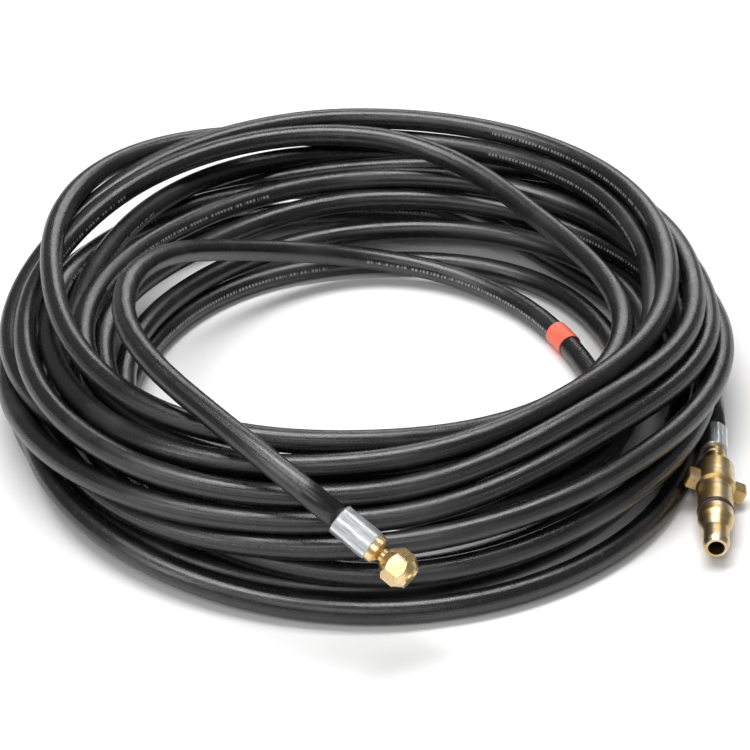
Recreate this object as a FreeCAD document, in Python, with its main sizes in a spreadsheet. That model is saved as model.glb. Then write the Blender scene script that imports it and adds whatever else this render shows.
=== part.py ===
"""Coiled pipe-cleaning hose with a screw-on jet nozzle and a bayonet swivel coupling.

Frame: millimetres, +Z up, z = 0 is the floor the coil lies on, and the origin is under the
middle of the whole object. Looking along +Y, the nozzle and the coupling are at the near side.
Each fitting is turned about its own local Z axis, with z = 0 at the rear face of its ferrule
and +Z pointing out of the hose, and is then placed on its end of the hose.
"""
import FreeCAD, Part
import math
import os
import Sketcher

V = FreeCAD.Vector
doc = FreeCAD.newDocument("coiled_hose")

# ---------------------------------------------------------------- driving dimensions, in mm
SIZES = [
    # hose: outside diameter, bore, and thickness of its inner tube and of its wire braid
    ("hose_od", 12.8), ("hose_bore", 6.4), ("liner_wall", 1.1), ("braid_wall", 0.6),
    ("layer_gap", 0.02),
    # coil of hose: radii, height, roundings of its section, and how far back it lies
    ("coil_outer_r", 205.0), ("coil_inner_r", 126.0), ("coil_height", 76.0),
    ("coil_top_outer_round", 47.0), ("coil_top_inner_round", 16.0),
    ("coil_low_outer_round", 18.0), ("coil_low_inner_round", 12.0), ("coil_centre_y", 12.2),
    ("recess_gap", 1.5), ("recess_rear", 6.0), ("recess_step", 6.0), ("nozzle_room_gap", 0.3),
    # coloured marker band round the nozzle lead
    ("band_length", 16.0), ("band_wall", 0.6), ("band_gap", 0.05),
    # nozzle ferrule
    ("nf_squeeze", 0.0), ("nf_wall", 1.6), ("nf_length", 21.4), ("nf_flat_depth", 0.25),
    ("lip_length", 1.5), ("lip_bore_od", 10.4), ("lip_gap", 0.15), ("ferrule_break", 0.5),
    # nozzle hose tail: barbed stem, collar, neck and male thread
    ("stem_setback", 1.6), ("stem_gap", 0.02), ("barb_depth", 0.35), ("barb_pitch", 3.2),
    ("end_gap", 0.3), ("nt_bore", 3.8), ("nt_collar_od", 14.8), ("nt_collar_length", 3.6),
    ("nt_cone_length", 1.6), ("nt_cone_od", 9.4), ("nt_neck_od", 7.4), ("nt_neck_round", 0.6),
    ("nt_neck_length", 3.2),
    ("thread_od", 9.6), ("thread_depth", 0.45), ("thread_pitch", 0.907), ("thread_gap", 0.08),
    # nozzle head, its jets and the seal inside it
    ("nh_setback", 0.5), ("nh_flats", 16.8), ("nh_corner_od", 18.9), ("nh_rear_od", 10.6),
    ("nh_rear_cone", 4.6), ("nh_barrel", 6.6), ("nh_front_cone", 4.2), ("nh_rim", 0.9),
    ("nh_rim_od", 12.8), ("nh_recess_od", 9.2), ("nh_recess_depth", 2.4), ("nh_recess_floor", 7.6),
    ("nh_chamber_od", 5.0), ("nh_chamber_length", 6.0), ("rear_jet_od", 1.3),
    ("front_jet_od", 1.8), ("jet_angle", 29.5), ("jet_start", 0.6), ("jet_inset", 0.4),
    ("seal_thickness", 1.0), ("seal_gap", 0.1), ("seal_bore", 4.4), ("seal_side_gap", 0.3),
    # coupling ferrule
    ("cf_squeeze", 0.2), ("cf_wall", 1.1), ("cf_length", 19.0), ("cf_flat_depth", 0.2),
    # coupling hose tail: stub, thrust flange and sealed spigot, with the parts that run on it
    ("ct_bore", 4.4), ("ct_collar_od", 11.8), ("ct_collar_length", 4.0), ("ct_stub_od", 10.4),
    ("ct_stub_length", 10.2), ("ct_stub_break", 0.5), ("swivel_gap", 0.08),
    ("flange_od", 14.2), ("flange_length", 2.4),
    ("flange_gap", 0.3), ("washer_thickness", 1.2), ("float_gap", 0.1), ("spigot_od", 9.0),
    ("spigot_length", 12.0), ("ring_groove_at", 4.5), ("ring_groove_width", 1.9),
    ("ring_groove_depth", 1.2), ("ring_section", 1.1), ("ring_gap", 0.05),
    # coupling cap, screwed on the rear of the coupling body
    ("cap_od", 20.8), ("cap_length", 13.2), ("cap_end_wall", 3.0), ("cap_chamfer", 2.0),
    ("cap_thread_od", 17.6), ("cap_gap", 0.08),
    # coupling body: barrel with two bayonet lugs, seal groove and nose
    ("body_od", 21.8), ("body_rear", 6.4), ("body_step", 1.2), ("body_break", 0.8),
    ("lug_span", 34.0), ("lug_setback", 0.4), ("lug_root", 1.5), ("lug_gap", 0.3),
    ("barrel_round", 0.6),
    ("lug_width", 8.2), ("lug_thickness", 8.0), ("lug_round", 2.2), ("barrel_od", 18.8),
    ("barrel_length", 17.6), ("nose_groove_od", 14.4), ("nose_groove_width", 3.4),
    ("nose_ring_section", 2.6), ("nose_ring_gap", 0.05), ("land_od", 19.0),
    ("land_length", 6.0), ("land_cone", 8.4), ("nose_od", 13.8), ("nose_length", 10.4),
    ("tip_chamfer", 3.2), ("tip_od", 11.4), ("coupling_bore", 8.6),
]


class Length:
    """A size with its expression, so that sums of sizes stay bound to the spreadsheet."""

    def __init__(self, value, text=None):
        self.value = float(value)
        self.text = text if text else repr(float(value))

    def _join(self, other, sign, value):
        other = other if isinstance(other, Length) else Length(other)
        return Length(value(self.value, other.value), "(%s %s %s)" % (self.text, sign, other.text))

    def __add__(self, other):
        return self._join(other, "+", lambda a, b: a + b)

    def __sub__(self, other):
        return self._join(other, "-", lambda a, b: a - b)

    def __mul__(self, other):
        return self._join(other, "*", lambda a, b: a * b)

    def __truediv__(self, other):
        return self._join(other, "/", lambda a, b: a / b)

    def __float__(self):
        return self.value


class Sheet:
    """The spreadsheet of driving dimensions; s.alias is that cell as a Length."""

    def __init__(self, rows):
        self.cells = doc.addObject("Spreadsheet::Sheet", "Sizes")
        for row, (alias, value) in enumerate(rows, start=1):
            self.cells.set("A%d" % row, alias)
            self.cells.set("B%d" % row, str(value))
            self.cells.setAlias("B%d" % row, alias)
        doc.recompute()

    def __getattr__(self, alias):
        return Length(self.cells.get(alias), "Sizes." + alias)


s = Sheet(SIZES)

# the ferrules go over the hose, squeeze it a little, and are flattened by the crimping dies
NF_OD = s.hose_od - s.nf_squeeze + s.nf_wall * 2
NF_FLATS = NF_OD - s.nf_flat_depth * 2
CF_OD = s.hose_od - s.cf_squeeze + s.cf_wall * 2
CF_FLATS = CF_OD - s.cf_flat_depth * 2
NODES = []


# ---------------------------------------------------------------- helpers for turned parts
def plane(body, role):
    """The body's own origin plane of the given role."""
    return next(f for f in body.Origin.OriginFeatures if f.Role == role)


def outline(body, name, role, points, offset=None):
    """A closed, fully constrained outline; a coordinate given as 0 lies on the axis."""
    sketch = body.newObject("Sketcher::SketchObject", name)
    sketch.AttachmentSupport = [(plane(body, role), "")]
    sketch.MapMode = "FlatFace"
    if offset is not None:
        sketch.AttachmentOffset = FreeCAD.Placement(V(0, 0, float(offset)), FreeCAD.Rotation())
        sketch.setExpression("AttachmentOffset.Base.z", offset.text)
    count = len(points)
    for i in range(count):
        a = points[i]
        b = points[(i + 1) % count]
        start = V(float(a[0]), float(a[1]), 0)
        end = V(float(b[0]), float(b[1]), 0)
        sketch.addGeometry(Part.LineSegment(start, end), False)
    for i in range(count):
        sketch.addConstraint(Sketcher.Constraint("Coincident", i, 2, (i + 1) % count, 1))
    for i, point in enumerate(points):
        for kind, axis, value in (("DistanceX", -2, point[0]), ("DistanceY", -1, point[1])):
            if isinstance(value, Length):
                rule = Sketcher.Constraint(kind, -1, 1, i, 1, float(value))
                index = sketch.addConstraint(rule)
                label = "%s%d" % (kind, i)
                sketch.renameConstraint(index, label)
                sketch.setExpression(".Constraints." + label, value.text)
            else:
                sketch.addConstraint(Sketcher.Constraint("PointOnObject", i, 1, axis))
    return sketch


def turned(label, profile):
    """A body turned about its local Z axis; the profile's points are (radius, height)."""
    body = doc.addObject("PartDesign::Body", label)
    turning = body.newObject("PartDesign::Revolution", label + "_turning")
    turning.Profile = outline(body, label + "_profile", "XZ_Plane", profile)
    turning.ReferenceAxis = (turning.Profile[0], ["V_Axis"])
    turning.Angle = 360
    body.Tip = turning
    return body


def ring(label, inner_r, outer_r, low, high):
    """A plain turned ring."""
    return turned(label, [(inner_r, low), (outer_r, low), (outer_r, high), (inner_r, high)])


def primitive(kind, label, place=None, **sizes):
    """A Part primitive whose sizes are bound to the sheet."""
    shape = doc.addObject("Part::" + kind, label)
    for name, value in sizes.items():
        if isinstance(value, Length):
            setattr(shape, name, float(value))
            shape.setExpression(name, value.text)
        else:
            setattr(shape, name, value)
    if place is not None:
        shape.Placement = place
    return shape


def cut(label, base, tool):
    """The base with the tool taken away."""
    result = doc.addObject("Part::Cut", label)
    result.Base = base
    result.Tool = tool
    return result


def common(label, base, tool):
    """What the base and the tool share."""
    result = doc.addObject("Part::Common", label)
    result.Base = base
    result.Tool = tool
    return result


def fuse(label, shapes):
    """Several shapes as one."""
    result = doc.addObject("Part::MultiFuse", label)
    result.Shapes = shapes
    return result


def prism(label, sides, flats, low, high):
    """A regular prism along local Z, sized across its flats."""
    reach = flats / (2 * math.cos(math.pi / sides))
    shape = primitive("Prism", label, Polygon=sides, Circumradius=reach, Height=high - low)
    shape.Placement = FreeCAD.Placement(V(0, 0, float(low)), FreeCAD.Rotation())
    shape.setExpression("Placement.Base.z", low.text)
    return shape


def keep(shape, label, place=None):
    """Name a finished sub-part and put it in its place."""
    shape.Label = label
    if place is not None:
        shape.Placement = place
    NODES.append(shape)
    return shape


# ---------------------------------------------------------------- where the hose runs
# The nozzle lead leaves the coil at the low inner right, runs round the back of the opening,
# climbs over the left side and comes down over the near side, where the nozzle lies.
NOZZLE_LEAD = [
    V(139, -37, 7.6), V(127, 9, 7.4), V(112, 53, 7.4), V(86, 93, 7.8), V(46, 121.5, 10),
    V(-5, 129.5, 16), V(-51, 113, 30), V(-87, 82, 50), V(-114, 44, 72), V(-132, 2, 83.4),
    V(-133, -42, 84.2), V(-113, -86, 83.6), V(-82, -127, 83), V(-42.2, -170.5, 77.3),
    V(-15.4, -188.4, 63.4),
]
# The coupling lead comes out from under the coil's right side, close to the floor.
COUPLING_LEAD = [
    V(181, 61, 9.5), V(188, 25, 10.6), V(190, -11, 11.4), V(186.6, -44.6, 11.4),
]
BAND_AT = 2            # the marker band goes round the lead's bend at this point
COUPLING_ROLL = -19    # degrees by which the lugs lie off level
NOZZLE_TURN = -18      # degrees by which the nozzle's flats lie off level
CRIMP_SIDES = 8
HEX_SIDES = 6
REAR_JETS = 6
THREAD_TURNS = 5
# where each thread ring's flanks and each barb's edge lie, as parts of one pitch
THREAD_FLANKS = (0.1, 0.45, 0.6, 0.95)
BARB_EDGE = 0.8
BARB_RISE = 0.15


def bend(a, b, c, nearest):
    """Ends, middle, radius and centre of the arc that rounds the corner at b."""
    before = (a - b).normalize()
    after = (c - b).normalize()
    half_turn = (math.pi - before.getAngle(after)) / 2
    reach = 0.45 * nearest
    radius = reach / math.tan(half_turn)
    toward = (before + after).normalize()
    centre = b + toward * (radius / math.cos(half_turn))
    return b + before * reach, centre - toward * radius, b + after * reach, radius, centre


def route(name, points):
    """Straight runs joined by tangent arcs, as one wire, with its radii printed."""
    edges = []
    radii = []
    start = points[0]
    for i in range(1, len(points) - 1):
        a, b, c = points[i - 1], points[i], points[i + 1]
        nearest = min((a - b).Length, (c - b).Length)
        first, middle, last, radius, _ = bend(a, b, c, nearest)
        edges.append(Part.LineSegment(start, first).toShape())
        edges.append(Part.Arc(first, middle, last).toShape())
        radii.append(radius)
        start = last
    edges.append(Part.LineSegment(start, points[-1]).toShape())
    wire = Part.Wire(edges)
    print("%s: length %.1f mm, radii %s" % (name, wire.Length, [round(r) for r in radii]))
    return wire


def hose_length(label, points):
    """A plain length of hose along its route."""
    wire = route(label, points)
    radius = float(s.hose_od) / 2
    section = Part.Circle(points[0], points[1] - points[0], radius).toShape()
    tube = wire.makePipeShell([Part.Wire(section)], True, False)
    expected = math.pi * radius ** 2 * wire.Length
    print("%s: volume %.4f of section times length" % (label, tube.Volume / expected))
    feature = doc.addObject("Part::Feature", label)
    feature.Shape = tube
    return feature


def fitting_place(points, roll):
    """Placement of a fitting on the last point of a lead, pointing out of the hose."""
    out = (points[-1] - points[-2]).normalize()
    level = out.cross(V(0, 0, 1)).normalize()
    turn = FreeCAD.Rotation(level, out.cross(level), out, "ZXY")
    return FreeCAD.Placement(points[-1], turn * FreeCAD.Rotation(V(0, 0, 1), roll))


NOZZLE_PLACE = fitting_place(NOZZLE_LEAD, 0)
COUPLING_PLACE = fitting_place(COUPLING_LEAD, COUPLING_ROLL)


# ---------------------------------------------------------------- coil, leads and band
def make_coil():
    """The outer shape of the coiled turns, hollowed under its rim where the coupling lies."""
    inner = s.coil_inner_r
    outer = s.coil_outer_r
    body = ring("coil_ring", inner, outer, 0, s.coil_height)
    doc.recompute()
    last = body.Tip
    for name, radius, height, rounding in (
            ("top_outer", outer, s.coil_height, s.coil_top_outer_round),
            ("top_inner", inner, s.coil_height, s.coil_top_inner_round),
            ("low_outer", outer, Length(0), s.coil_low_outer_round),
            ("low_inner", inner, Length(0), s.coil_low_inner_round)):
        found = [i for i, e in enumerate(last.Shape.Edges, start=1)
                 if isinstance(e.Curve, Part.Circle) and abs(e.Curve.Radius - float(radius)) < 1e-6
                 and abs(e.Curve.Center.z - float(height)) < 1e-6]
        fillet = body.newObject("PartDesign::Fillet", "coil_" + name)
        fillet.Base = (last, ["Edge%d" % i for i in found])
        fillet.Radius = float(rounding)
        fillet.setExpression("Radius", rounding.text)
        body.Tip = fillet
        doc.recompute()
        last = fillet
    body.Placement = FreeCAD.Placement(V(0, float(s.coil_centre_y), 0), FreeCAD.Rotation())
    body.setExpression("Placement.Base.y", s.coil_centre_y.text)
    # room under the rim: a narrow stretch along the ferrule, and a wide one round the lugs
    level = COUPLING_PLACE.Rotation * FreeCAD.Rotation(V(0, 0, 1), -COUPLING_ROLL)
    rooms = []
    for name, half, start in (("ferrule_room", CF_OD / 2 + s.recess_gap, s.recess_rear * -1),
                              ("lug_room", s.lug_span / 2 + s.recess_gap, s.cf_length + s.recess_step)):
        room = primitive("Box", name, Length=s.coil_outer_r, Width=half * 2, Height=s.coil_outer_r)
        corner = V(float(half - s.coil_outer_r), -float(half), float(start))
        room.Placement = FreeCAD.Placement(COUPLING_PLACE.Base + level.multVec(corner), level)
        rooms.append(room)
    # room for the nozzle, where it lies on the near side
    for name, width, start, height in (
            ("nozzle_ferrule_room", NF_OD, Length(0), s.nf_length),
            ("nozzle_head_room", s.nh_corner_od, s.nf_length, s.coil_outer_r)):
        room = primitive("Cylinder", name, Radius=width / 2 + s.nozzle_room_gap, Height=height)
        base = NOZZLE_PLACE.multVec(V(0, 0, float(start)))
        room.Placement = FreeCAD.Placement(base, NOZZLE_PLACE.Rotation)
        rooms.append(room)
    keep(cut("coil", body, fuse("fitting_rooms", rooms)), "hose_coil")


def make_band():
    """A thin coloured sleeve that follows one bend of the nozzle lead."""
    a, b, c = NOZZLE_LEAD[BAND_AT - 1:BAND_AT + 2]
    nearest = min((a - b).Length, (c - b).Length)
    first, middle, last, radius, centre = bend(a, b, c, nearest)
    axis = (first - centre).cross(last - centre).normalize()
    angle = math.degrees(float(s.band_length) / radius)
    inner = float(s.hose_od) / 2 + float(s.band_gap)
    start = FreeCAD.Rotation(axis, -angle / 2).multVec(middle - centre) + centre
    along = axis.cross(start - centre)
    faces = [Part.Face(Part.Wire(Part.Circle(start, along, r).toShape()))
             for r in (inner + float(s.band_wall), inner)]
    feature = doc.addObject("Part::Feature", "band")
    feature.Shape = faces[0].cut(faces[1]).revolve(centre, axis, angle)
    keep(feature, "marker_band")


# ---------------------------------------------------------------- pieces of both hose ends
def make_ferrule(label, od, wall, length, flats, place):
    """A crimped steel sleeve: octagonal from the crimping dies, its front lip turned in."""
    bore_r = od / 2 - wall
    lip = length - s.lip_length
    edge = s.ferrule_break
    sleeve = turned(label + "_sleeve", [
        (bore_r, 0), (od / 2 - edge, 0), (od / 2, edge), (od / 2, length - edge),
        (od / 2 - edge, length), (s.lip_bore_od / 2, length), (s.lip_bore_od / 2, lip),
        (bore_r, lip)])
    dies = prism(label + "_dies", CRIMP_SIDES, flats, edge * -1, length + edge)
    keep(common(label + "_crimped", sleeve, dies), label, place)


def make_hose_end(prefix, ferrule_od, wall, length, place):
    """The three layers of the hose where the ferrule grips them."""
    gap = s.layer_gap
    liner_r = s.hose_bore / 2
    braid_r = liner_r + s.liner_wall
    cover_r = braid_r + s.braid_wall
    end = length - s.lip_length - s.end_gap
    skin_r = ferrule_od / 2 - wall - gap
    for label, inner, outer in (("liner", liner_r, braid_r - gap),
                                ("braid", braid_r, cover_r - gap),
                                ("cover", cover_r, skin_r)):
        keep(turned(prefix + label, [(inner, 0), (outer, 0), (outer, end), (inner, end)]),
             prefix + label, place)


def barbed_stem(length):
    """Outline of the stem inside the hose, from its tip to the land under the ferrule's lip."""
    peak = s.hose_bore / 2 - s.stem_gap
    valley = peak - s.barb_depth
    end = length - s.lip_length - s.end_gap
    points = []
    at = s.stem_setback
    while float(at + s.barb_pitch) < float(end):
        points += [(valley, at), (peak, at + s.barb_pitch * BARB_EDGE)]
        at = at + s.barb_pitch
        points.append((valley, at - s.barb_pitch * BARB_RISE))
    land = s.lip_bore_od / 2 - s.lip_gap
    return points + [(valley, end + s.end_gap / 2), (land, end + s.end_gap / 2)]


# ---------------------------------------------------------------- nozzle end
def make_nozzle_end():
    """Ferrule, gripped hose, hose tail, seal and the nozzle head that screws on the tail."""
    place = NOZZLE_PLACE
    make_ferrule("nozzle_ferrule", NF_OD, s.nf_wall, s.nf_length, NF_FLATS, place)
    make_hose_end("nozzle_hose_", NF_OD, s.nf_wall, s.nf_length, place)

    bore = s.nt_bore / 2
    land = s.lip_bore_od / 2 - s.lip_gap
    collar = s.nt_collar_od / 2
    neck = s.nt_neck_od / 2
    collar_at = s.nf_length + s.lip_gap
    collar_end = collar_at + s.nt_collar_length
    neck_at = collar_end + s.nt_cone_length
    thread_at = neck_at + s.nt_neck_length
    crest = s.thread_od / 2
    root = crest - s.thread_depth
    tail = barbed_stem(s.nf_length)
    tail += [(land, collar_at), (collar, collar_at), (collar, collar_end),
             (s.nt_cone_od / 2, neck_at), (neck, neck_at + s.nt_neck_round), (neck, thread_at)]
    for i in range(THREAD_TURNS):
        start = thread_at + s.thread_pitch * i
        for flank, radius in zip(THREAD_FLANKS, (root, crest, crest, root)):
            tail.append((radius, start + s.thread_pitch * flank))
    thread_end = thread_at + s.thread_pitch * THREAD_TURNS
    tail += [(root, thread_end), (bore, thread_end), (bore, s.stem_setback)]
    keep(turned("nozzle_tail", tail), "nozzle_hose_tail", place)

    seal_at = thread_end + s.seal_gap
    seal_end = seal_at + s.seal_thickness
    bore_r = crest + s.thread_gap
    keep(ring("seal", s.seal_bore / 2, bore_r - s.seal_side_gap, seal_at, seal_end),
         "nozzle_seal", place)

    rear = thread_at - s.nh_setback
    chamber = s.nh_chamber_od / 2
    chamber_at = seal_end + s.seal_gap / 2
    chamber_end = chamber_at + s.nh_chamber_length
    corner = s.nh_corner_od / 2
    barrel_at = rear + s.nh_rear_cone
    barrel_end = barrel_at + s.nh_barrel
    cone_end = barrel_end + s.nh_front_cone
    front = cone_end + s.nh_rim
    recess = front - s.nh_recess_depth
    blank = turned("nozzle_blank", [
        (bore_r, rear), (s.nh_rear_od / 2, rear), (corner, barrel_at), (corner, barrel_end),
        (s.nh_rim_od / 2, cone_end), (s.nh_rim_od / 2, front), (s.nh_recess_od / 2, front),
        (s.nh_recess_floor / 2, recess), (0, recess), (0, chamber_end), (chamber, chamber_end),
        (chamber, chamber_at), (bore_r, chamber_at)])
    hexagon = prism("nozzle_hexagon", HEX_SIDES, s.nh_flats, rear - s.nh_rim, front + s.nh_rim)
    front_jet = primitive("Cylinder", "front_jet", Radius=s.front_jet_od / 2, Height=front - chamber_at)
    front_jet.Placement = FreeCAD.Placement(V(0, 0, float(chamber_at)), FreeCAD.Rotation())
    front_jet.setExpression("Placement.Base.z", chamber_at.text)
    jets = [front_jet]
    for i in range(REAR_JETS):
        jet = primitive("Cylinder", "rear_jet_%d" % i, Radius=s.rear_jet_od / 2,
                        Height=s.nh_corner_od)
        around = FreeCAD.Rotation(V(0, 0, 1), 360 / REAR_JETS * i)
        lean = around * FreeCAD.Rotation(V(0, 1, 0), 180 - float(s.jet_angle))
        start = around.multVec(V(float(chamber - s.jet_inset), 0, float(chamber_end - s.jet_start)))
        jet.Placement = FreeCAD.Placement(start, lean)
        jets.append(jet)
    head = cut("nozzle_jetted", common("nozzle_hexed", blank, hexagon), fuse("jets", jets))
    turned_on = FreeCAD.Rotation(V(0, 0, 1), NOZZLE_TURN)
    keep(head, "nozzle_head", FreeCAD.Placement(place.Base, place.Rotation * turned_on))


# ---------------------------------------------------------------- coupling end
def make_coupling_end():
    """Ferrule, gripped hose and hose tail, with the coupling that turns freely on the tail."""
    place = COUPLING_PLACE
    make_ferrule("coupling_ferrule", CF_OD, s.cf_wall, s.cf_length, CF_FLATS, place)
    make_hose_end("coupling_hose_", CF_OD, s.cf_wall, s.cf_length, place)

    bore = s.ct_bore / 2
    land = s.lip_bore_od / 2 - s.lip_gap
    collar_at = s.cf_length + s.lip_gap
    stub_at = collar_at + s.ct_collar_length
    cap_at = stub_at + s.ct_stub_length
    washer_at = cap_at + s.cap_end_wall + s.float_gap
    flange_at = washer_at + s.washer_thickness + s.float_gap
    flange_end = flange_at + s.flange_length
    spigot_end = flange_end + s.spigot_length
    groove_at = flange_end + s.ring_groove_at
    groove_end = groove_at + s.ring_groove_width
    groove = s.spigot_od / 2 - s.ring_groove_depth
    stub = s.ct_stub_od / 2
    flange = s.flange_od / 2
    spigot = s.spigot_od / 2
    tail = barbed_stem(s.cf_length)
    tail += [(land, collar_at), (s.ct_collar_od / 2, collar_at), (s.ct_collar_od / 2, stub_at),
             (stub, stub_at + s.ct_stub_break), (stub, flange_at), (flange, flange_at),
             (flange, flange_end), (spigot, flange_end), (spigot, groove_at),
             (groove, groove_at), (groove, groove_end), (spigot, groove_end),
             (spigot, spigot_end), (bore, spigot_end), (bore, s.stem_setback)]
    keep(turned("coupling_tail", tail), "coupling_hose_tail", place)

    seal_r = groove + s.ring_gap + s.ring_section / 2
    seal = primitive("Torus", "swivel_ring", Radius1=seal_r, Radius2=s.ring_section / 2)
    middle = place.multVec(V(0, 0, float(groove_at + s.ring_groove_width / 2)))
    keep(seal, "swivel_seal", FreeCAD.Placement(middle, place.Rotation))

    keep(ring("washer", stub + s.swivel_gap, flange, washer_at, washer_at + s.washer_thickness),
         "thrust_washer", place)

    inside = flange + s.flange_gap
    thread = s.cap_thread_od / 2
    cap_end = cap_at + s.cap_length
    wall_end = cap_at + s.cap_end_wall
    cap_r = s.cap_od / 2
    keep(turned("cap", [
        (stub + s.swivel_gap, cap_at), (cap_r - s.cap_chamfer, cap_at),
        (cap_r, cap_at + s.cap_chamfer), (cap_r, cap_end), (thread + s.cap_gap, cap_end),
        (thread + s.cap_gap, wall_end), (stub + s.swivel_gap, wall_end)]), "coupling_cap", place)

    socket_end = flange_end + s.float_gap
    body_r = s.body_od / 2
    rear_end = cap_end + s.body_rear
    groove2_at = rear_end + s.barrel_length
    groove2_end = groove2_at + s.nose_groove_width
    land_end = groove2_end + s.land_length
    cone_end = land_end + s.land_cone
    tip_at = cone_end + s.nose_length
    tip_end = tip_at + s.tip_chamfer
    barrel = s.barrel_od / 2
    groove2 = s.nose_groove_od / 2
    nose = s.nose_od / 2
    waterway = s.coupling_bore / 2
    bearing = spigot + s.swivel_gap
    spigot_room = spigot_end + s.end_gap
    step_end = cap_end + s.body_step
    body = turned("coupling_turned", [
        (inside, wall_end + s.float_gap), (thread, wall_end + s.float_gap),
        (thread, cap_end + s.float_gap), (cap_r, cap_end + s.float_gap),
        (body_r, step_end + s.float_gap), (body_r, rear_end - s.body_break),
        (barrel + s.barrel_round, rear_end), (barrel, rear_end + s.barrel_round),
        (barrel, groove2_at), (groove2, groove2_at),
        (groove2, groove2_end), (s.land_od / 2, groove2_end), (s.land_od / 2, land_end),
        (nose, cone_end), (nose, tip_at), (s.tip_od / 2, tip_end), (waterway, tip_end),
        (waterway, spigot_room), (bearing, spigot_room), (bearing, socket_end),
        (inside, socket_end)])
    lug_low = rear_end - s.lug_thickness - s.lug_setback
    bar = primitive("Box", "lug_bar", Length=s.lug_span, Width=s.lug_width,
                    Height=s.lug_thickness)
    bar.Placement = FreeCAD.Placement(
        V(-float(s.lug_span) / 2, -float(s.lug_width) / 2, float(lug_low)), FreeCAD.Rotation())
    bar.setExpression("Placement.Base.x", (s.lug_span * -0.5).text)
    bar.setExpression("Placement.Base.y", (s.lug_width * -0.5).text)
    bar.setExpression("Placement.Base.z", lug_low.text)
    doc.recompute()
    ends = [i for i, e in enumerate(bar.Shape.Edges, start=1)
            if abs(abs(e.CenterOfMass.x) - float(s.lug_span) / 2) < 1e-6]
    rounded = doc.addObject("Part::Fillet", "lug_rounded")
    rounded.Base = bar
    rounded.Edges = [(i, float(s.lug_round), float(s.lug_round)) for i in ends]
    hollows = [primitive("Cylinder", "lug_hollow", Radius=body_r - s.lug_root, Height=tip_end),
               primitive("Cylinder", "cap_room", Radius=cap_r + s.lug_gap, Height=cap_end + s.float_gap)]
    lugs = cut("lugs", rounded, fuse("lug_hollows", hollows))
    keep(fuse("coupling_lugged", [body, lugs]), "coupling_body", place)

    ring_r = groove2 + s.nose_ring_gap + s.nose_ring_section / 2
    nose_ring = primitive("Torus", "nose_ring", Radius1=ring_r, Radius2=s.nose_ring_section / 2)
    middle = place.multVec(V(0, 0, float(groove2_at + s.nose_groove_width / 2)))
    keep(nose_ring, "nose_seal", FreeCAD.Placement(middle, place.Rotation))


# ---------------------------------------------------------------- build, test and write
make_coil()
keep(hose_length("nozzle_run", NOZZLE_LEAD), "hose_lead_nozzle")
keep(hose_length("coupling_run", COUPLING_LEAD), "hose_lead_coupling")
make_band()
make_nozzle_end()
make_coupling_end()
doc.recompute()

for item in doc.Objects:
    if "Invalid" in item.State or "Error" in item.State:
        raise RuntimeError("%s did not recompute: %s" % (item.Label, item.State))
for node in NODES:
    if node.Shape.isNull() or not node.Shape.isValid() or not node.Shape.Solids:
        raise RuntimeError("%s has no valid solid" % node.Label)

os.makedirs("parts", exist_ok=True)
box = FreeCAD.BoundBox()
for node in NODES:
    box.add(node.Shape.BoundBox)
    node.Shape.exportStep("parts/%s.step" % node.Label)
print("%d nodes, %s" % (len(NODES), box))
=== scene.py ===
"""Looks of a coiled pipe-cleaning hose with a jet nozzle and a bayonet coupling.

Lengths are in metres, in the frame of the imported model: +Z up, the floor at z = 0, and the
nozzle and the coupling at the near side when one looks along +Y.
"""

import math

import bpy
import numpy as np
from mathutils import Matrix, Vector


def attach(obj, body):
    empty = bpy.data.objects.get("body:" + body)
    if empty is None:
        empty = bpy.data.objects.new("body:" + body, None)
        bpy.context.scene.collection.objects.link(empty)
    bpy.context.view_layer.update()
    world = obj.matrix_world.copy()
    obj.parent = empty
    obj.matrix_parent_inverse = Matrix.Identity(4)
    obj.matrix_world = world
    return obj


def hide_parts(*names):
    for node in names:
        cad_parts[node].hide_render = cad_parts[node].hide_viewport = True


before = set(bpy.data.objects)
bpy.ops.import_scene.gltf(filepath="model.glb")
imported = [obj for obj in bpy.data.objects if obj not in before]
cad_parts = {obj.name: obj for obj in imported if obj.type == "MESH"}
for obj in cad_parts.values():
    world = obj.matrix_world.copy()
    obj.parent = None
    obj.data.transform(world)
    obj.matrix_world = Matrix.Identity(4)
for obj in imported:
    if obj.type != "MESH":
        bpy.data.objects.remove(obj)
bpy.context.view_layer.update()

bl_info = {
    "name": "Coiled Hose Looks",
    "version": (1, 0, 0),
    "blender": (4, 5, 0),
    "location": "View3D > Sidebar > Hose",
    "description": "Builds the coiled hose, its finishes and the stage around the packed model",
    "category": "Object",
}

QUARTER = math.pi / 2
EIGHTH = math.pi / 4

# ---------------------------------------------------------------- where the hose runs
# The nozzle lead leaves the coil at the low inner right, runs round the back of the opening,
# climbs over the left side and comes down over the near side, where the nozzle lies.
NOZZLE_LEAD = [
    (0.139, -0.037, 0.0076), (0.127, 0.009, 0.0074), (0.112, 0.053, 0.0074),
    (0.086, 0.093, 0.0078), (0.046, 0.1215, 0.010), (-0.005, 0.1295, 0.016),
    (-0.051, 0.113, 0.030), (-0.087, 0.082, 0.050), (-0.114, 0.044, 0.072),
    (-0.132, 0.002, 0.0834), (-0.133, -0.042, 0.0842), (-0.113, -0.086, 0.0836),
    (-0.082, -0.127, 0.083), (-0.0422, -0.1705, 0.0773), (-0.0154, -0.1884, 0.0634),
]
# The coupling lead comes out from under the coil's right side, close to the floor.
COUPLING_LEAD = [
    (0.181, 0.061, 0.0095), (0.188, 0.025, 0.0106), (0.190, -0.011, 0.0114),
    (0.1866, -0.0446, 0.0114),
]
COIL_MIDDLE = (0.0, 0.0122)
COIL_RISES_FROM = (0.188, 0.0105)    # distance and height before the first turn's back
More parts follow.
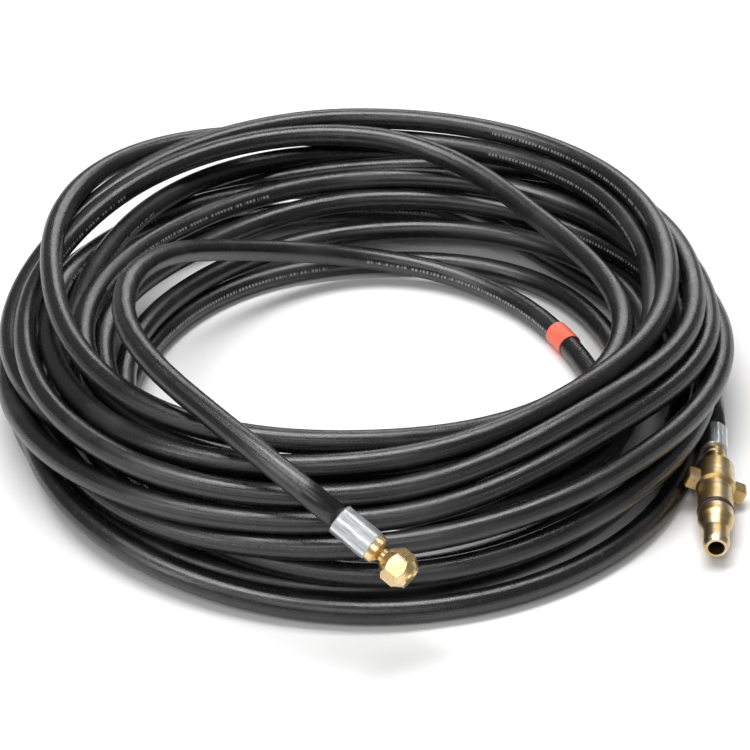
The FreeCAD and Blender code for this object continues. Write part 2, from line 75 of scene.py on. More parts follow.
# Where each turn lies as (distance from the coil's middle, height) at the back, back left,
# left, near left, near side, near right, right and back right, from the coupling's end of the
# hose to the nozzle's.
TURNS = [
    ((0.190, 0.009), (0.196, 0.008), (0.200, 0.008), (0.189, 0.008),
     (0.184, 0.008), (0.176, 0.010), (0.176, 0.020), (0.180, 0.016)),
    ((0.178, 0.015), (0.182, 0.018), (0.187, 0.020), (0.200, 0.014),
     (0.203, 0.008), (0.196, 0.008), (0.176, 0.008), (0.168, 0.010)),
    ((0.182, 0.034), (0.180, 0.046), (0.176, 0.055), (0.172, 0.060),
     (0.152, 0.066), (0.143, 0.069), (0.162, 0.065), (0.192, 0.064)),
    ((0.199, 0.063), (0.192, 0.065), (0.200, 0.042), (0.174, 0.040),
     (0.163, 0.042), (0.158, 0.050), (0.174, 0.046), (0.177, 0.046)),
    ((0.160, 0.048), (0.151, 0.050), (0.160, 0.053), (0.158, 0.056),
     (0.144, 0.056), (0.140, 0.058), (0.155, 0.053), (0.185, 0.059)),
    ((0.197, 0.056), (0.208, 0.067), (0.174, 0.069), (0.160, 0.069),
     (0.146, 0.069), (0.138, 0.056), (0.142, 0.051), (0.140, 0.057)),
    ((0.175, 0.069), (0.184, 0.067), (0.188, 0.048), (0.187, 0.052),
     (0.168, 0.056), (0.158, 0.068), (0.179, 0.060), (0.199, 0.054)),
    ((0.186, 0.043), (0.188, 0.036), (0.187, 0.033), (0.192, 0.030),
     (0.182, 0.041), (0.183, 0.049), (0.194, 0.041), (0.200, 0.030)),
    ((0.198, 0.024), (0.200, 0.026), (0.200, 0.027), (0.194, 0.036),
     (0.180, 0.042), (0.167, 0.055), (0.188, 0.048), (0.200, 0.045)),
    ((0.199, 0.043), (0.182, 0.052), (0.175, 0.044), (0.178, 0.028),
     (0.192, 0.025), (0.189, 0.032), (0.186, 0.030), (0.176, 0.032)),
    ((0.152, 0.040), (0.140, 0.039), (0.148, 0.044), (0.152, 0.042),
     (0.150, 0.043), (0.148, 0.040), (0.156, 0.037), (0.160, 0.026)),
    ((0.141, 0.023), (0.132, 0.022), (0.137, 0.024), (0.146, 0.026),
     (0.152, 0.029), (0.154, 0.022), (0.141, 0.010), (0.140, 0.008)),
    ((0.123, 0.007), (0.126, 0.007), (0.136, 0.008), (0.160, 0.008),
     (0.173, 0.0085), (0.160, 0.0085), (0.148, 0.0085), (0.140, 0.0085)),
]
COIL_STARTS_AT = math.radians(27)    # angle from +X, where the coupling lead hands over
COIL_ENDS_AT = math.radians(-45)     # and where the nozzle lead takes over, on the last turn
POINTS_PER_TURN = 144                # of which every second one shapes the hose
LEAD_STEP = 0.007                    # between points of the leads, for turns to rest against

# ---------------------------------------------------------------- how the turns settle
CLEARANCE = 1.02       # diameters that strands are kept apart
NEIGHBOURS = 5         # points along one strand that don't push each other
FALLING_SHARE = 0.6    # share of the passes in which turns sink; later ones only part them
EAGERNESS = 1.3        # how far past contact a push goes
SMOOTHINGS = 3         # times that a pass's moves are evened out along the hose
EVENING = 0.25         # share of the neighbours' difference that each of them takes

# ---------------------------------------------------------------- marks on the finishes
PRINT_AT = 0.6         # where the print lies round the hose; 0 points out of the coil, 0.25 down
PRINT_EVERY = 0.71     # metres from one print on the hose to the next
PRINT_LENGTH = 0.15
PRINT_HALF_WIDTH = 0.020             # in turns round the hose
LETTER_PITCH = 0.0024
LETTER_SPACE = 0.0009
WEAVE_TURNING = 2600   # radians of the cloth's waves to a metre of hose
WEAVE_LEAN = 60        # and to a turn round it
BRAID_TURNING = 2400
BRAID_WIRES = 24
CRIMP_JAWS = 8


# ---------------------------------------------------------------- settings a user can change
class HoseSettings(bpy.types.PropertyGroup):
    """Sizes of the hose and of its mesh."""

    diameter: bpy.props.FloatProperty(
        name="Outside diameter", description="Over the rubber cover", default=0.0128,
        min=0.004, max=0.03, subtype="DISTANCE", unit="LENGTH")
    length: bpy.props.FloatProperty(
        name="Length", description="Of the whole hose between its two fittings", default=15.0,
        min=1.0, max=60.0, subtype="DISTANCE", unit="LENGTH")
    sides: bpy.props.IntProperty(
        name="Sides", description="Faces round the hose", default=20, min=8, max=48)
    settle_passes: bpy.props.IntProperty(
        name="Settling passes", description="How long the turns settle on each other",
        default=320, min=0, max=2000)
    sink: bpy.props.FloatProperty(
        name="Sink per pass", description="How far loose turns sink in one settling pass",
        default=0.00002, min=0.0, max=0.001, subtype="DISTANCE", unit="LENGTH")


def colour_setting(name, description, default):
    """A colour that a user can change."""
    return bpy.props.FloatVectorProperty(name=name, description=description, default=default,
                                         min=0.0, max=1.0, subtype="COLOR")


class FinishSettings(bpy.types.PropertyGroup):
    """Colours of the finishes."""

    cover: colour_setting("Cover", "Rubber of the hose's cover", (0.006, 0.006, 0.007))
    inner_tube: colour_setting("Inner tube", "Rubber that lines the hose", (0.03, 0.03, 0.03))
    print_ink: colour_setting("Print", "Ink of the marks along the hose", (0.30, 0.30, 0.31))
    braid: colour_setting("Braid", "Steel wire of the hose", (0.55, 0.52, 0.45))
    marker: colour_setting("Marker", "Sleeve round the nozzle's lead", (0.86, 0.115, 0.052))
    zinc: colour_setting("Zinc", "Plating of the ferrules", (0.80, 0.86, 0.89))
    bright_brass: colour_setting("Bright brass", "The nozzle and its tail", (0.86, 0.61, 0.26))
    dark_brass: colour_setting("Dark brass", "The coupling", (0.60, 0.42, 0.165))
    dark_seal: colour_setting("Dark seal", "Rubber of the O-rings", (0.075, 0.026, 0.032))
    pale_seal: colour_setting("Pale seal", "Plastic of the flat rings", (0.82, 0.80, 0.74))


class StageSettings(bpy.types.PropertyGroup):
    """Camera, floor and lights."""

    aim: bpy.props.FloatVectorProperty(
        name="Aim", description="Point that the camera looks at", default=(0.002, -0.017, 0.030),
        subtype="TRANSLATION", unit="LENGTH")
    elevation: bpy.props.FloatProperty(
        name="Elevation", description="Camera's angle above the floor",
        default=math.radians(34.5), subtype="ANGLE", unit="ROTATION")
    distance: bpy.props.FloatProperty(
        name="Distance", description="From the camera to its aim", default=1.35,
        subtype="DISTANCE", unit="LENGTH")
    lens: bpy.props.FloatProperty(name="Lens", description="Focal length in mm", default=117.9)
    floor_colour: bpy.props.FloatVectorProperty(
        name="Floor", description="Colour of the floor", default=(0.93, 0.93, 0.93), subtype="COLOR")
    sky: bpy.props.FloatProperty(
        name="Sky", description="Strength of the light from all round", default=0.2, min=0.0)


# ---------------------------------------------------------------- the hose
def station(number):
    """Distance and height of the coil at its given eighth, counted on from the first back."""
    if number < 0:
        return np.array(COIL_RISES_FROM)
    number = min(number, len(TURNS) * 8 - 1)
    return np.array(TURNS[number // 8][number % 8])


def coil_point(angle):
    """A point of the coil; the angle runs on from turn to turn and is QUARTER at the first back."""
    progress = (angle - QUARTER) / EIGHTH
    number = math.floor(progress)
    part = progress - number
    before, here, after, beyond = (station(number + k) for k in (-1, 0, 1, 2))
    slope_here = (after - before) / 2
    slope_after = (beyond - here) / 2
    cube = part ** 3
    square = part ** 2
    distance, height = (here * (2 * cube - 3 * square + 1) + slope_here * (cube - 2 * square + part)
                        + after * (3 * square - 2 * cube) + slope_after * (cube - square))
    return (COIL_MIDDLE[0] + distance * math.cos(angle),
            COIL_MIDDLE[1] + distance * math.sin(angle), height)


def along(points, step):
    """Points about a step apart on the straight runs between the given ones."""
    points = np.array(points)
    runs = np.linalg.norm(np.diff(points, axis=0), axis=1)
    at = np.concatenate([[0], np.cumsum(runs)])
    wanted = np.linspace(0, at[-1], math.ceil(at[-1] / step) + 1)
    return np.stack([np.interp(wanted, at, points[:, k]) for k in range(3)], axis=1)


def settled(turns, still, diameter, passes, sink):
    """The turns after they have sunk on the floor, on each other and round what keeps still."""
    radius = diameter / 2
    count = len(turns)
    clear = diameter * CLEARANCE
    moved = np.zeros_like(turns)
    numbers = np.arange(count + len(still))
    numbers[count:] += NEIGHBOURS * 2
    for step in range(passes):
        if step < passes * FALLING_SHARE:
            moved[:, 2] -= sink
        points = np.concatenate([turns + moved, still])
        squares = (points ** 2).sum(axis=1)
        gaps = squares[:count, None] + squares[None, :] - 2 * points[:count] @ points.T
        first, second = np.nonzero(gaps < clear ** 2)
        real = np.abs(numbers[first] - numbers[second]) > NEIGHBOURS
        first, second = first[real], second[real]
        between = points[first] - points[second]
        reach = np.maximum(np.linalg.norm(between, axis=1), 1e-6)
        share = np.where(second < count, 0.5, 1.0)
        push = between / reach[:, None] * ((clear - reach) * share)[:, None]
        total = np.zeros_like(turns)
        hits = np.zeros(count)
        np.add.at(total, first, push)
        np.add.at(hits, first, 1)
        moved += total / np.maximum(hits, 1)[:, None] * EAGERNESS
        for _ in range(SMOOTHINGS):
            moved[1:-1] += (moved[:-2] + moved[2:] - 2 * moved[1:-1]) * EVENING
        low = turns[:, 2] + moved[:, 2] < radius
        moved[low, 2] = radius - turns[low, 2]
    return turns + moved


def hose_points(settings):
    """Control points of the whole hose, from the coupling to the nozzle."""
    last = 2 * math.pi * len(TURNS) + COIL_ENDS_AT
    angles = np.arange(COIL_STARTS_AT, last, 2 * math.pi / POINTS_PER_TURN)
    turns = np.array([coil_point(a) for a in angles])
    still = np.concatenate([along(lead, LEAD_STEP) for lead in (COUPLING_LEAD, NOZZLE_LEAD)])
    turns = settled(turns, still, settings.diameter, settings.settle_passes, settings.sink)
    return list(reversed(COUPLING_LEAD)) + [tuple(p) for p in turns[::2]] + NOZZLE_LEAD


def spline_line(points):
    """Points along one smooth open NURBS spline with the given control points."""
    curve = bpy.data.curves.new("hose_route", "CURVE")
    curve.dimensions = "3D"
    curve.resolution_u = 3
    spline = curve.splines.new("NURBS")
    spline.points.add(len(points) - 1)
    for point, place in zip(spline.points, points):
        point.co = (*place, 1)
    spline.order_u = 3
    spline.use_endpoint_u = True
    holder = bpy.data.objects.new("hose_route", curve)
    mesh = bpy.data.meshes.new_from_object(holder)
    line = np.array([v.co for v in mesh.vertices])
    bpy.data.objects.remove(holder)
    bpy.data.curves.remove(curve)
    bpy.data.meshes.remove(mesh)
    return line


def unit(vectors):
    """The vectors at length one."""
    return vectors / np.linalg.norm(vectors, axis=-1, keepdims=True)


def tube(name, line, radius, sides):
    """A mesh tube along a line, which doesn't twist, with its own length and turn as attributes."""
    ahead = unit(np.gradient(line, axis=0))
    side = unit(np.cross(ahead[0], (0, 0, 1)))
    rings = []
    turn = 2 * math.pi * np.arange(sides) / sides
    for place, direction in zip(line, ahead):
        side = unit(side - direction * (side @ direction))
        other = np.cross(direction, side)
        rings.append(place + radius * (np.outer(np.cos(turn), side) + np.outer(np.sin(turn), other)))
    vertices = np.concatenate(rings)
    faces = []
    for i in range(len(line) - 1):
        for j in range(sides):
            k = (j + 1) % sides
            faces.append((i * sides + j, i * sides + k, (i + 1) * sides + k, (i + 1) * sides + j))
    faces.append(tuple(reversed(range(sides))))
    faces.append(tuple(range((len(line) - 1) * sides, len(line) * sides)))
    mesh = bpy.data.meshes.new(name)
    mesh.from_pydata(vertices.tolist(), [], faces)
    mesh.polygons.foreach_set("use_smooth", [True] * len(faces))
    travel = np.concatenate([[0], np.cumsum(np.linalg.norm(np.diff(line, axis=0), axis=1))])
    for label, values in (("travel", np.repeat(travel, sides)),
                          ("around", np.tile(np.arange(sides) / sides, len(line)))):
        attribute = mesh.attributes.new(label, "FLOAT", "POINT")
        attribute.data.foreach_set("value", values.astype(np.float32))
    mesh.update()
    piece = bpy.data.objects.new(name, mesh)
    bpy.context.scene.collection.objects.link(piece)
    return piece


# ---------------------------------------------------------------- finishes
class Shade:
    """A socket's value, so that shader maths on it is written as an expression."""

    def __init__(self, finish, socket):
        self.finish = finish
        self.socket = socket

    def maths(self, operation, *values):
        """The result of one operation of a Math node."""
        return self.finish.node("ShaderNodeMath", {"operation": operation},
                                dict(enumerate(values)))

    def __add__(self, other):
        return self.maths("ADD", self, other)

    def __radd__(self, other):
        return self.maths("ADD", other, self)

    def __sub__(self, other):
        return self.maths("SUBTRACT", self, other)

    def __rsub__(self, other):
        return self.maths("SUBTRACT", other, self)

    def __mul__(self, other):
        return self.maths("MULTIPLY", self, other)

    def __rmul__(self, other):
        return self.maths("MULTIPLY", other, self)

    def __truediv__(self, other):
        return self.maths("DIVIDE", self, other)

    def __mod__(self, other):
        return self.maths("FLOORED_MODULO", self, other)

    def __gt__(self, other):
        return self.maths("GREATER_THAN", self, other)

    def __lt__(self, other):
        return self.maths("LESS_THAN", self, other)

    def __abs__(self):
        return self.maths("ABSOLUTE", self)


class Finish:
    """A material on its way: its Principled shader and the nodes that feed it."""

    def __init__(self, name, roughness, metallic=0.0, specular=0.5):
        self.material = bpy.data.materials.new(name)
        self.material.use_nodes = True
        self.tree = self.material.node_tree
        self.shader = self.tree.nodes["Principled BSDF"]
        self.shader.inputs["Roughness"].default_value = roughness
        self.shader.inputs["Metallic"].default_value = metallic
        self.shader.inputs["Specular IOR Level"].default_value = specular

    def feed(self, socket, value):
        """Link a value to a socket, or set the socket to it."""
        if isinstance(value, Shade):
            self.tree.links.new(value.socket, socket)
        elif socket.type == "RGBA":
            socket.default_value = (*value, 1)
        else:
            socket.default_value = value

    def node(self, kind, settings, sockets, output=0):
        """Output of a new node: its settings are set first, ramp stops too, then its sockets."""
        node = self.tree.nodes.new(kind)
        for label, setting in settings.items():
            if label == "stops":
                ends = node.color_ramp.elements
                for end, (place, colour) in zip(ends, (setting[0], setting[-1])):
                    end.position = place
                    end.color = (*colour, 1)
                for place, colour in setting[1:-1]:
                    ends.new(place).color = (*colour, 1)
            else:
                setattr(node, label, setting)
        for label, value in sockets.items():
            self.feed(node.inputs[label], value)
        return Shade(self, node.outputs[output])

    def place(self):
        """Where a point of the surface is, in the piece's own axes."""
        return self.node("ShaderNodeTexCoord", {}, {}, "Object")

    def measure(self, label):
        """A number that the mesh carries on its points."""
        return self.node("ShaderNodeAttribute", {"attribute_name": label}, {}, "Fac")

    def vector(self, x, y, z):
        """A vector of three numbers."""
        return self.node("ShaderNodeCombineXYZ", {}, {0: x, 1: y, 2: z})

    def dot(self, vector, direction):
        """How far a vector reaches along a fixed direction."""
        return self.node("ShaderNodeVectorMath", {"operation": "DOT_PRODUCT"},
                         {0: vector, 1: direction}, "Value")

    def noise(self, where, scale, detail=2.0, distortion=0.0):
        """Cloudy numbers about 0.5, with so many clouds to the metre."""
        return self.node("ShaderNodeTexNoise", {},
                         {"Vector": where, "Scale": scale, "Detail": detail,
                          "Distortion": distortion}, "Fac")

    def spread(self, value, low, high, new_low=0.0, new_high=1.0):
        """The value's range low to high stretched smoothly over a new one."""
        return self.node("ShaderNodeMapRange", {"interpolation_type": "SMOOTHSTEP"},
                         {"Value": value, "From Min": low, "From Max": high,
                          "To Min": new_low, "To Max": new_high})

    def mixed(self, factor, first, second):
        """A colour between two colours."""
        return self.node("ShaderNodeMix", {"data_type": "RGBA"}, {0: factor, 6: first, 7: second}, 2)

    def about(self, base, axis):
        """Length along a fitting's axis from its base, and turn about it from 0 to 1."""
        axis = Vector(axis)
        side = axis.orthogonal().normalized()
        across = axis.cross(side)
        away = self.node("ShaderNodeVectorMath", {"operation": "SUBTRACT"},
                         {0: self.place(), 1: tuple(base)})
        angle = self.node("ShaderNodeMath", {"operation": "ARCTAN2"},
                          {0: self.dot(away, tuple(across)), 1: self.dot(away, tuple(side))})
        return self.dot(away, tuple(axis)), angle / (2 * math.pi) + 0.5

    def crossed(self, lengthways, round_it, operation):
        """Heights from 0 to 1 of two sets of waves that lean opposite ways and cross over."""
        one_way = self.node("ShaderNodeMath", {"operation": "SINE"}, {0: lengthways + round_it})
        other_way = self.node("ShaderNodeMath", {"operation": "SINE"}, {0: lengthways - round_it})
        both = self.node("ShaderNodeMath", {"operation": operation}, {0: one_way, 1: other_way})
        return both * 0.5 + 0.5

    def raised(self, height, strength, distance):
        """Let a height from 0 to 1 stand up from the surface by a distance."""
        bump = self.node("ShaderNodeBump", {},
                         {"Height": height, "Strength": strength, "Distance": distance})
        self.feed(self.shader.inputs["Normal"], bump)

    def covered(self, colour, roughness):
        """Feed the colour and the roughness, and return the material."""
        self.feed(self.shader.inputs["Base Color"], colour)
        self.feed(self.shader.inputs["Roughness"], roughness)
        return self.material


def darker(colour, share):
    """The colour at a share of its brightness."""
    return tuple(c * share for c in colour)


def paler(colour, share):
    """The colour moved a share of the way to white."""
    return tuple(c + (1 - c) * share for c in colour)


def nozzle_axis():
    """Base and direction of the nozzle's fittings."""
    last, before = Vector(NOZZLE_LEAD[-1]), Vector(NOZZLE_LEAD[-2])
    return last, (last - before).normalized()


def coupling_axis():
    """Base and direction of the coupling's fittings."""
    last, before = Vector(COUPLING_LEAD[-1]), Vector(COUPLING_LEAD[-2])
    return last, (last - before).normalized()


def cover_rubber(colours):
    """Black rubber cover: cloth-wrapped when it was cured, dusty in patches, with a line of print."""
    finish = Finish("hose_cover", roughness=0.4, specular=0.75)
    travel = finish.measure("travel")
    around = finish.measure("around")
    fold = abs(around - 0.5)
    skin = finish.vector(fold * 0.08, travel, 0.0)
    streaks = finish.noise(finish.vector(fold * 26, travel * 5, 0.0), 9.0, detail=3.0)
    weave = finish.crossed(travel * WEAVE_TURNING, fold * WEAVE_LEAN, "MULTIPLY")
    place = finish.place()
    grain = finish.noise(place, 1500.0, detail=2.0)
    clouds = finish.noise(place, 22.0, detail=3.0)
    dust = finish.spread(clouds, 0.46, 0.78)
    scuffs = finish.spread(finish.noise(skin, 160.0, detail=4.0, distortion=1.2), 0.62, 0.72)
    batch = (travel % PRINT_EVERY) < PRINT_LENGTH
    letter = (travel % LETTER_PITCH) > LETTER_SPACE
    broken = finish.noise(finish.vector(travel * 420, 0.0, 0.0), 1.0, detail=1.0) > 0.44
    line = abs(around - PRINT_AT) < PRINT_HALF_WIDTH
    ink = batch * letter * broken * line
    rubber = finish.mixed(dust * 0.5 + scuffs * 0.25, colours.cover, paler(colours.cover, 0.035))
    colour = finish.mixed(ink * 0.8, rubber, tuple(colours.print_ink))
    roughness = 0.25 + grain * 0.08 + dust * 0.1 + scuffs * 0.1 - streaks * 0.06
    finish.raised(grain * 0.35 + weave * 0.35 + streaks * 0.6, 0.55, 0.00018)
    return finish.covered(colour, roughness)


def gripped_cover(colours):
    """The cover where a ferrule grips it: the same rubber, squeezed rough and without print."""
    finish = Finish("gripped_cover", roughness=0.5)
    place = finish.place()
    grain = finish.noise(place, 900.0, detail=3.0)
    clouds = finish.noise(place, 60.0)
    colour = finish.mixed(clouds, colours.cover, paler(colours.cover, 0.04))
    finish.raised(grain, 0.5, 0.0002)
    return finish.covered(colour, 0.42 + grain * 0.2)


def tube_rubber(colours):
    """Smooth inner tube, a little shiny from the mandrel that it was made on."""
    finish = Finish("hose_tube", roughness=0.35)
    place = finish.place()
    clouds = finish.noise(place, 140.0, detail=3.0)
    colour = finish.mixed(clouds, colours.inner_tube, darker(colours.inner_tube, 0.5))
    finish.raised(finish.noise(place, 1200.0), 0.3, 0.0001)
    return finish.covered(colour, 0.28 + clouds * 0.2)


def wire_braid(colours, base, axis):
    """Two sets of fine wires that cross over each other round the inner tube."""
    finish = Finish("wire_braid", roughness=0.4, metallic=1.0)
    length, turn = finish.about(base, axis)
    height = finish.crossed(length * BRAID_TURNING, turn * BRAID_WIRES * 2 * math.pi, "MAXIMUM")
    # The low parts of the weave, in the gaps between the wires, are painted darker: painted shade.
    colour = finish.mixed(height, darker(colours.braid, 0.3), colours.braid)
    finish.raised(height, 0.8, 0.0003)
    return finish.covered(colour, 0.5 - height * 0.15)


def marker_sleeve(colours):
    """Shrunk plastic sleeve: slightly uneven, with raised folds and dirty patches."""
    finish = Finish("marker", roughness=0.45)
    place = finish.place()
    clouds = finish.noise(place, 90.0, detail=3.0)
    dirt = finish.spread(finish.noise(place, 260.0, detail=5.0), 0.60, 0.74)
    folds = finish.noise(place, 420.0, detail=2.0, distortion=0.8)
    skin = finish.mixed(clouds, colours.marker, paler(colours.marker, 0.10))
    colour = finish.mixed(dirt * 0.45, skin, darker(colours.marker, 0.35))
    finish.raised(folds, 0.4, 0.0003)
    return finish.covered(colour, 0.34 + clouds * 0.2 + dirt * 0.2)


def zinc_plating(name, colours, base, axis):
    """Zinc-plated drawn steel: long streaks, partly painted reflection, dull spangle and the marks of
    the crimping jaws with painted shade in their creases.
    """
    finish = Finish(name, roughness=0.3, metallic=1.0)
    length, turn = finish.about(base, axis)
    place = finish.place()
    streaks = finish.noise(finish.vector(turn * 30, length * 18, 0.0), 5.0, detail=4.0)
    spangle = finish.noise(place, 700.0, detail=3.0, distortion=0.6)
    stains = finish.spread(finish.noise(place, 190.0, detail=4.0), 0.52, 0.72)
    jaw = abs((turn * CRIMP_JAWS) % 1.0 - 0.5)
    jaw_edge = finish.spread(jaw, 0.44, 0.5)
    # Long light and dark streaks in the plating's colour: partly the real streaks of the drawn tube,
    # partly painted reflection of the dark hose.
    drawn_and_reflection = finish.spread(streaks, 0.36, 0.62)
    plating = finish.mixed(drawn_and_reflection, darker(colours.zinc, 0.6), paler(colours.zinc, 0.5))
    stained = finish.mixed(stains * 0.45, plating, darker(colours.zinc, 0.55))
    # Darker along the creases where the crimping jaws met: painted shade in the creases.
    colour = finish.mixed(jaw_edge * 0.5, stained, darker(colours.zinc, 0.45))
    finish.raised(spangle * 0.3 + streaks * 0.5 - jaw_edge * 0.5, 0.5, 0.0003)
    return finish.covered(colour, 0.27 + spangle * 0.12 + stains * 0.12)


def turned_brass(name, colour, base, axis, dullness, tarnish):
    """Brass from the lathe: fine rings across its axis, dull patches and darker handled spots."""
    finish = Finish(name, roughness=dullness, metallic=1.0)
    length, turn = finish.about(base, axis)
    place = finish.place()
    rings = finish.noise(finish.vector(length * 2600, turn * 0.6, 0.0), 1.0, detail=2.0)
    broad = finish.noise(finish.vector(length * 320, turn * 2.0, 0.0), 1.0, detail=2.0)
    clouds = finish.noise(place, 75.0, detail=4.0)
    spots = finish.spread(finish.noise(place, 620.0, detail=4.0, distortion=0.4), 0.60, 0.74)
    worn = finish.mixed(finish.spread(clouds, 0.38, 0.66), colour, paler(colour, 0.28))
    aged = finish.mixed(finish.spread(broad, 0.45, 0.75) * tarnish, worn, darker(colour, 0.4))
    metal = finish.mixed(spots * tarnish, aged, (colour[0] * 0.45, colour[1] * 0.28, colour[2] * 0.3))
    finish.raised(rings * 0.7 + clouds * 0.3, 0.35, 0.00015)
    return finish.covered(metal, dullness + rings * 0.1 + spots * 0.2 - clouds * 0.08)


def ring_rubber(colours):
    """Greased O-ring rubber, with dust held in the grease."""
    finish = Finish("seal_rubber", roughness=0.35)
    place = finish.place()
    clouds = finish.noise(place, 220.0, detail=3.0)
    dust = finish.spread(finish.noise(place, 1400.0, detail=2.0), 0.62, 0.72)
    skin = finish.mixed(clouds, colours.dark_seal, darker(colours.dark_seal, 0.5))
    colour = finish.mixed(dust * 0.3, skin, paler(colours.dark_seal, 0.2))
    finish.raised(clouds, 0.3, 0.0002)
    return finish.covered(colour, 0.25 + clouds * 0.2 + dust * 0.3)


def ring_plastic(colours):
    """Waxy bearing plastic, rubbed grey where metal runs on it."""
    finish = Finish("white_seal", roughness=0.4)
    place = finish.place()
    rubbed = finish.spread(finish.noise(place, 500.0, detail=4.0), 0.5, 0.75)
    colour = finish.mixed(rubbed * 0.5, colours.pale_seal, darker(colours.pale_seal, 0.55))
    finish.raised(finish.noise(place, 1600.0), 0.25, 0.0001)
    return finish.covered(colour, 0.35 + rubbed * 0.2)


def give(material, *names):
    """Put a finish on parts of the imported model."""
    for name in names:
        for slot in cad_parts[name].material_slots:
            slot.material = material


# ---------------------------------------------------------------- the pieces
class HOSE_OT_hose(bpy.types.Operator):
    """Lay the hose in its loose coil, from the coupling to the nozzle"""

    bl_idname = "hose_looks.hose"
    bl_label = "Hose"

    def execute(self, context):
        settings = context.scene.hose_settings
        line = spline_line(hose_points(settings))
        hose = tube("hose", line, settings.diameter / 2, settings.sides)
        hose.data.materials.append(cover_rubber(context.scene.finish_settings))
        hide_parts("hose_coil", "hose_lead_nozzle", "hose_lead_coupling")
        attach(hose, "root")
        return {"FINISHED"}


class HOSE_OT_marker(bpy.types.Operator):
    """Colour the marker sleeve on the nozzle's lead"""

    bl_idname = "hose_looks.marker"
    bl_label = "Marker sleeve"

    def execute(self, context):
        give(marker_sleeve(context.scene.finish_settings), "marker_band")
        return {"FINISHED"}


class HOSE_OT_ferrules(bpy.types.Operator):
    """Plate the two crimped ferrules"""

    bl_idname = "hose_looks.ferrules"
    bl_label = "Ferrules"

    def execute(self, context):
        colours = context.scene.finish_settings
        give(zinc_plating("zinc", colours, *nozzle_axis()), "nozzle_ferrule")
        give(zinc_plating("zinc_at_coupling", colours, *coupling_axis()), "coupling_ferrule")
        return {"FINISHED"}


class HOSE_OT_gripped_layers(bpy.types.Operator):
    """Finish the hose's three layers where the ferrules grip them"""

    bl_idname = "hose_looks.gripped_layers"
    bl_label = "Gripped layers"

    def execute(self, context):
        colours = context.scene.finish_settings
        give(gripped_cover(colours), "nozzle_hose_cover", "coupling_hose_cover")
        give(tube_rubber(colours), "nozzle_hose_liner", "coupling_hose_liner")
        give(wire_braid(colours, *nozzle_axis()), "nozzle_hose_braid")
        give(wire_braid(colours, *coupling_axis()), "coupling_hose_braid")
        return {"FINISHED"}


class HOSE_OT_nozzle(bpy.types.Operator):
    """Finish the jet nozzle and the tail that it screws on"""

    bl_idname = "hose_looks.nozzle"
    bl_label = "Nozzle"

    def execute(self, context):
        brass = turned_brass("bright_brass", tuple(context.scene.finish_settings.bright_brass),
                             *nozzle_axis(), dullness=0.27, tarnish=0.3)
        give(brass, "nozzle_hose_tail", "nozzle_head")
        return {"FINISHED"}


class HOSE_OT_coupling(bpy.types.Operator):
    """Finish the bayonet coupling: its tail, its cap and its body"""

    bl_idname = "hose_looks.coupling"
    bl_label = "Coupling"

    def execute(self, context):
        brass = turned_brass("dark_brass", tuple(context.scene.finish_settings.dark_brass),
                             *coupling_axis(), dullness=0.33, tarnish=0.5)
        give(brass, "coupling_hose_tail", "coupling_cap", "coupling_body")
        return {"FINISHED"}


class HOSE_OT_seals(bpy.types.Operator):
    """Finish the O-rings and the flat rings"""

    bl_idname = "hose_looks.seals"
    bl_label = "Seals"

    def execute(self, context):
        colours = context.scene.finish_settings
        give(ring_rubber(colours), "swivel_seal", "nose_seal")
        give(ring_plastic(colours), "nozzle_seal", "thrust_washer")
        return {"FINISHED"}


# ---------------------------------------------------------------- the stage
FLOOR_HALF = 6.0       # from the middle of the floor to its edges
# Soft lights: name, place, size across and up, and power in watts.
SOFTBOXES = [
    ("overhead", (-0.1, 0.2, 1.5), (1.5, 0.45), 23.0),
    ("back", (0.25, 1.5, 0.9), (1.2, 0.35), 7.0),
    ("front_left", (-1.3, -0.9, 0.9), (0.45, 0.9), 6.0),
    ("front", (-0.25, -1.5, 1.5), (1.5, 0.9), 10.0),
]


def floor_paint(colour):
    """Smooth pale paint with hardly visible roller marks."""
    finish = Finish("floor", roughness=0.75, specular=0.2)
    marks = finish.noise(finish.place(), 6.0, detail=3.0)
    shade = finish.mixed(marks, darker(colour, 0.985), tuple(colour))
    return finish.covered(shade, 0.7 + marks * 0.1)


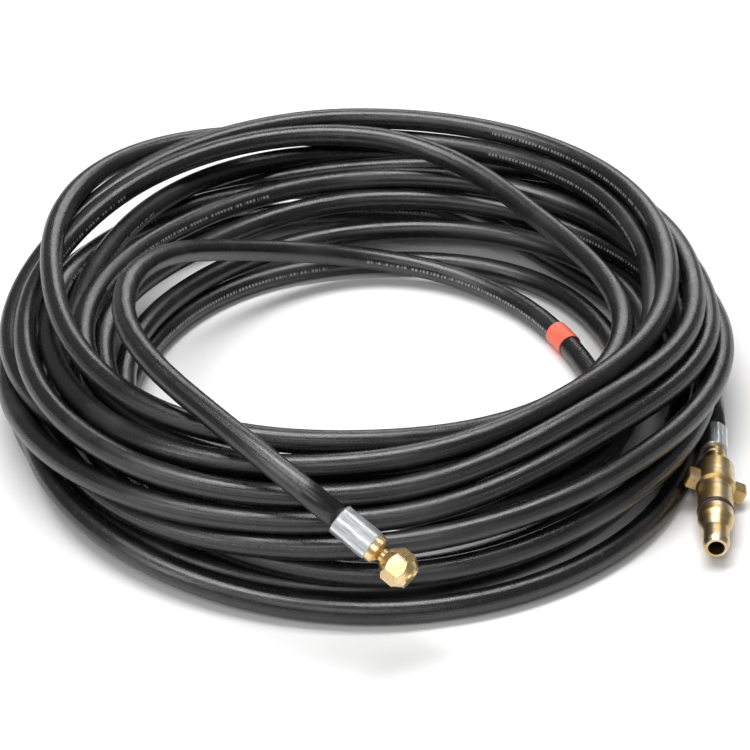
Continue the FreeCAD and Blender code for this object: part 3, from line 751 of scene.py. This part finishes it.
class HOSE_OT_stage(bpy.types.Operator):
    """Set up the camera, the pale floor and the soft lights"""

    bl_idname = "hose_looks.stage"
    bl_label = "Stage"

    def execute(self, context):
        scene = context.scene
        settings = scene.stage_settings
        aim = Vector(settings.aim)
        camera = bpy.data.objects.new("camera", bpy.data.cameras.new("camera"))
        camera.data.lens = settings.lens
        back = Vector((0, -math.cos(settings.elevation), math.sin(settings.elevation)))
        camera.location = aim + back * settings.distance
        camera.rotation_euler = (math.pi / 2 - settings.elevation, 0, 0)
        scene.collection.objects.link(camera)
        scene.camera = camera
        floor_mesh = bpy.data.meshes.new("floor")
        half = FLOOR_HALF
        floor_mesh.from_pydata([(-half, -half, 0), (half, -half, 0), (half, half, 0), (-half, half, 0)],
                               [], [(0, 1, 2, 3)])
        floor = bpy.data.objects.new("floor", floor_mesh)
        scene.collection.objects.link(floor)
        floor_mesh.materials.append(floor_paint(settings.floor_colour))
        world = bpy.data.worlds.new("studio")
        world.use_nodes = True
        sky = world.node_tree.nodes["Background"]
        sky.inputs["Color"].default_value = (1, 1, 1, 1)
        sky.inputs["Strength"].default_value = settings.sky
        scene.world = world
        scene.view_settings.view_transform = "Standard"
        for name, place, size, power in SOFTBOXES:
            light = bpy.data.objects.new(name, bpy.data.lights.new(name, "AREA"))
            light.data.shape = "RECTANGLE"
            light.data.size, light.data.size_y = size
            light.data.energy = power
            light.location = place
            light.rotation_euler = (aim - Vector(place)).to_track_quat("-Z", "Y").to_euler()
            scene.collection.objects.link(light)
        return {"FINISHED"}


class HOSE_PT_panel(bpy.types.Panel):
    """The pieces, in the order in which they are made"""

    bl_idname = "HOSE_PT_panel"
    bl_label = "Coiled hose"
    bl_space_type = "VIEW_3D"
    bl_region_type = "UI"
    bl_category = "Hose"

    def draw(self, context):
        for step in STEPS:
            self.layout.operator(step.bl_idname)
        for settings in (context.scene.hose_settings, context.scene.finish_settings,
                         context.scene.stage_settings):
            for label in settings.__annotations__:
                self.layout.prop(settings, label)


STEPS = (HOSE_OT_stage, HOSE_OT_hose, HOSE_OT_marker, HOSE_OT_ferrules, HOSE_OT_gripped_layers,
         HOSE_OT_nozzle, HOSE_OT_coupling, HOSE_OT_seals)
SETTINGS = {"hose_settings": HoseSettings, "finish_settings": FinishSettings,
            "stage_settings": StageSettings}
CLASSES = (*SETTINGS.values(), *STEPS, HOSE_PT_panel)


def register():
    for item in CLASSES:
        bpy.utils.register_class(item)
    for label, group in SETTINGS.items():
        setattr(bpy.types.Scene, label, bpy.props.PointerProperty(type=group))


def unregister():
    for label in SETTINGS:
        delattr(bpy.types.Scene, label)
    for item in reversed(CLASSES):
        bpy.utils.unregister_class(item)


def main():
    register()
    for step in STEPS:
        getattr(bpy.ops.hose_looks, step.bl_idname.split(".")[1])()


if __name__ == "__main__":
    main()
